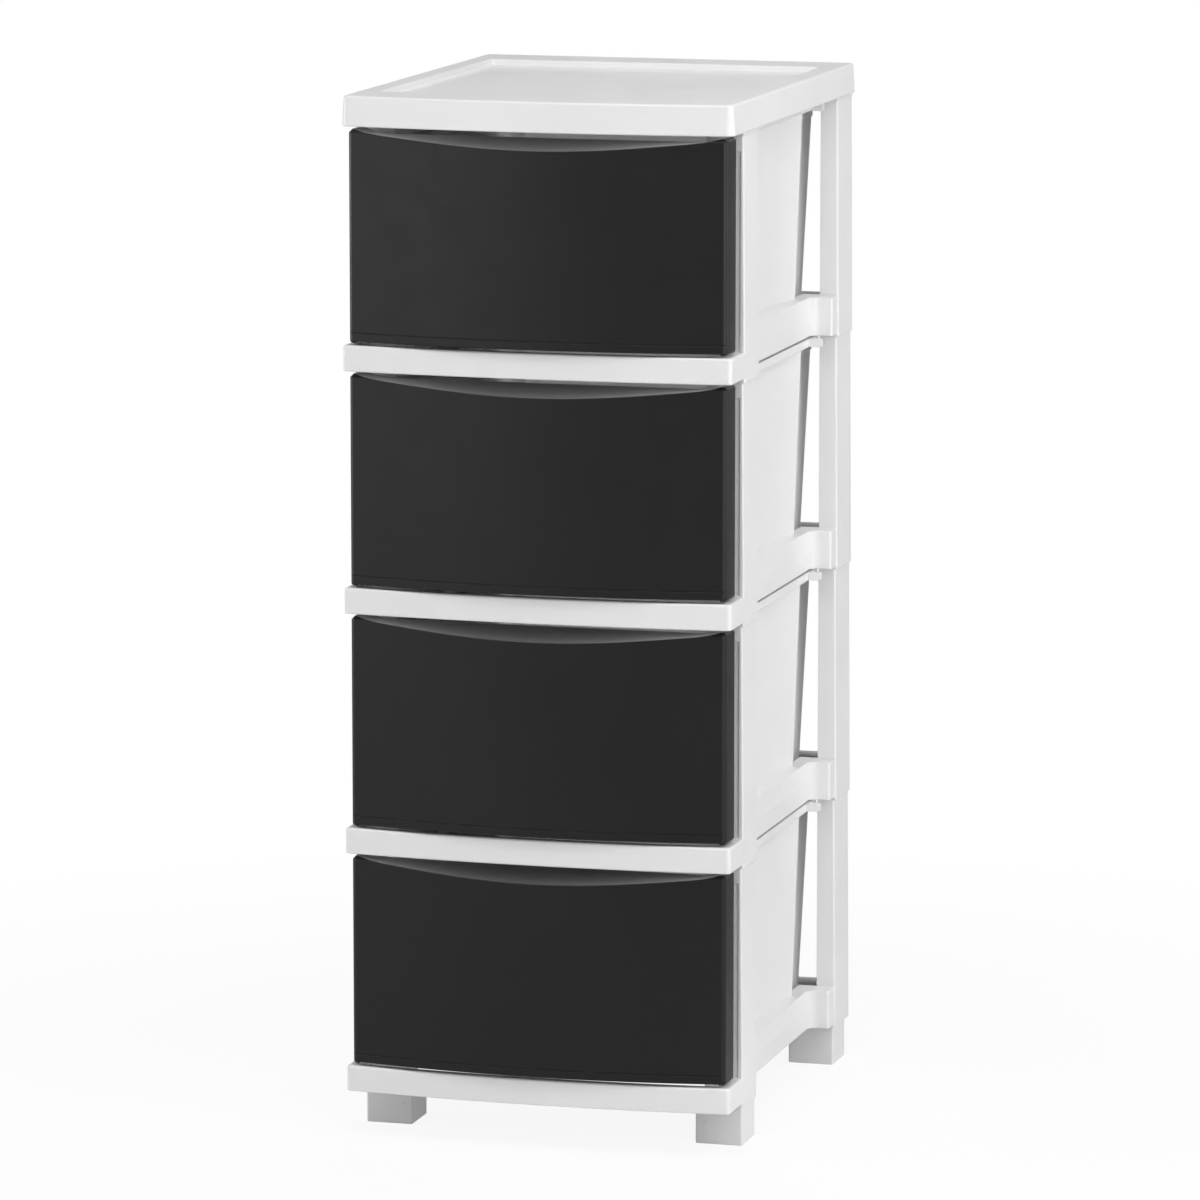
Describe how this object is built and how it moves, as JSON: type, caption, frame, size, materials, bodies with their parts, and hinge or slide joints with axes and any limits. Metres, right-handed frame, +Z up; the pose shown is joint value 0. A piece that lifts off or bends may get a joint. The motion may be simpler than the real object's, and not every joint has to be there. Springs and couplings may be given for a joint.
{
  "type": "drawer tower",
  "caption": "Free-standing plastic storage tower with white stacked frames, a tray-topped lid, short feet and sliding drawers with bowed black fronts.",
  "frame": {"origin": "middle of the outline on the floor, under the feet", "axes": "+Z up the tower, -Y out of the drawer fronts, +X to the right seen from the front"},
  "size_m": [0.3228, 0.4184, 0.845],
  "materials": {
    "white_frame": "satin moulded polypropylene, white",
    "white_tub": "satin moulded polypropylene, white, slightly translucent",
    "black_front": "satin moulded plastic, black"
  },
  "bodies": {
    "frame": {"tier_1_right_side_frame": "white_frame", "tier_1_left_side_frame": "white_frame", "tier_1_front_rail": "white_frame", "tier_1_back_rail": "white_frame", "tier_2_right_side_frame": "white_frame", "tier_2_left_side_frame": "white_frame", "tier_2_front_rail": "white_frame", "tier_2_back_rail": "white_frame", "tier_3_right_side_frame": "white_frame", "tier_3_left_side_frame": "white_frame", "tier_3_front_rail": "white_frame", "tier_3_back_rail": "white_frame", "tier_4_right_side_frame": "white_frame", "tier_4_left_side_frame": "white_frame", "tier_4_front_rail": "white_frame", "tier_4_back_rail": "white_frame", "front_right_foot": "white_frame", "front_left_foot": "white_frame", "rear_right_foot": "white_frame", "rear_left_foot": "white_frame", "top_lid": "white_frame"},
    "drawer_1": {"tier_1_drawer_tub": "white_tub", "tier_1_drawer_front": "black_front"},
    "drawer_2": {"tier_2_drawer_tub": "white_tub", "tier_2_drawer_front": "black_front"},
    "drawer_3": {"tier_3_drawer_tub": "white_tub", "tier_3_drawer_front": "black_front"},
    "drawer_4": {"tier_4_drawer_tub": "white_tub", "tier_4_drawer_front": "black_front"}
  },
  "joints": [
    {"name": "drawer_1_slide", "type": "slide", "parent": "frame", "child": "drawer_1", "axis": [0, -1, 0], "range_m": [0, 0.27]},
    {"name": "drawer_2_slide", "type": "slide", "parent": "frame", "child": "drawer_2", "axis": [0, -1, 0], "range_m": [0, 0.27]},
    {"name": "drawer_3_slide", "type": "slide", "parent": "frame", "child": "drawer_3", "axis": [0, -1, 0], "range_m": [0, 0.27]},
    {"name": "drawer_4_slide", "type": "slide", "parent": "frame", "child": "drawer_4", "axis": [0, -1, 0], "range_m": [0, 0.27]}
  ]
}
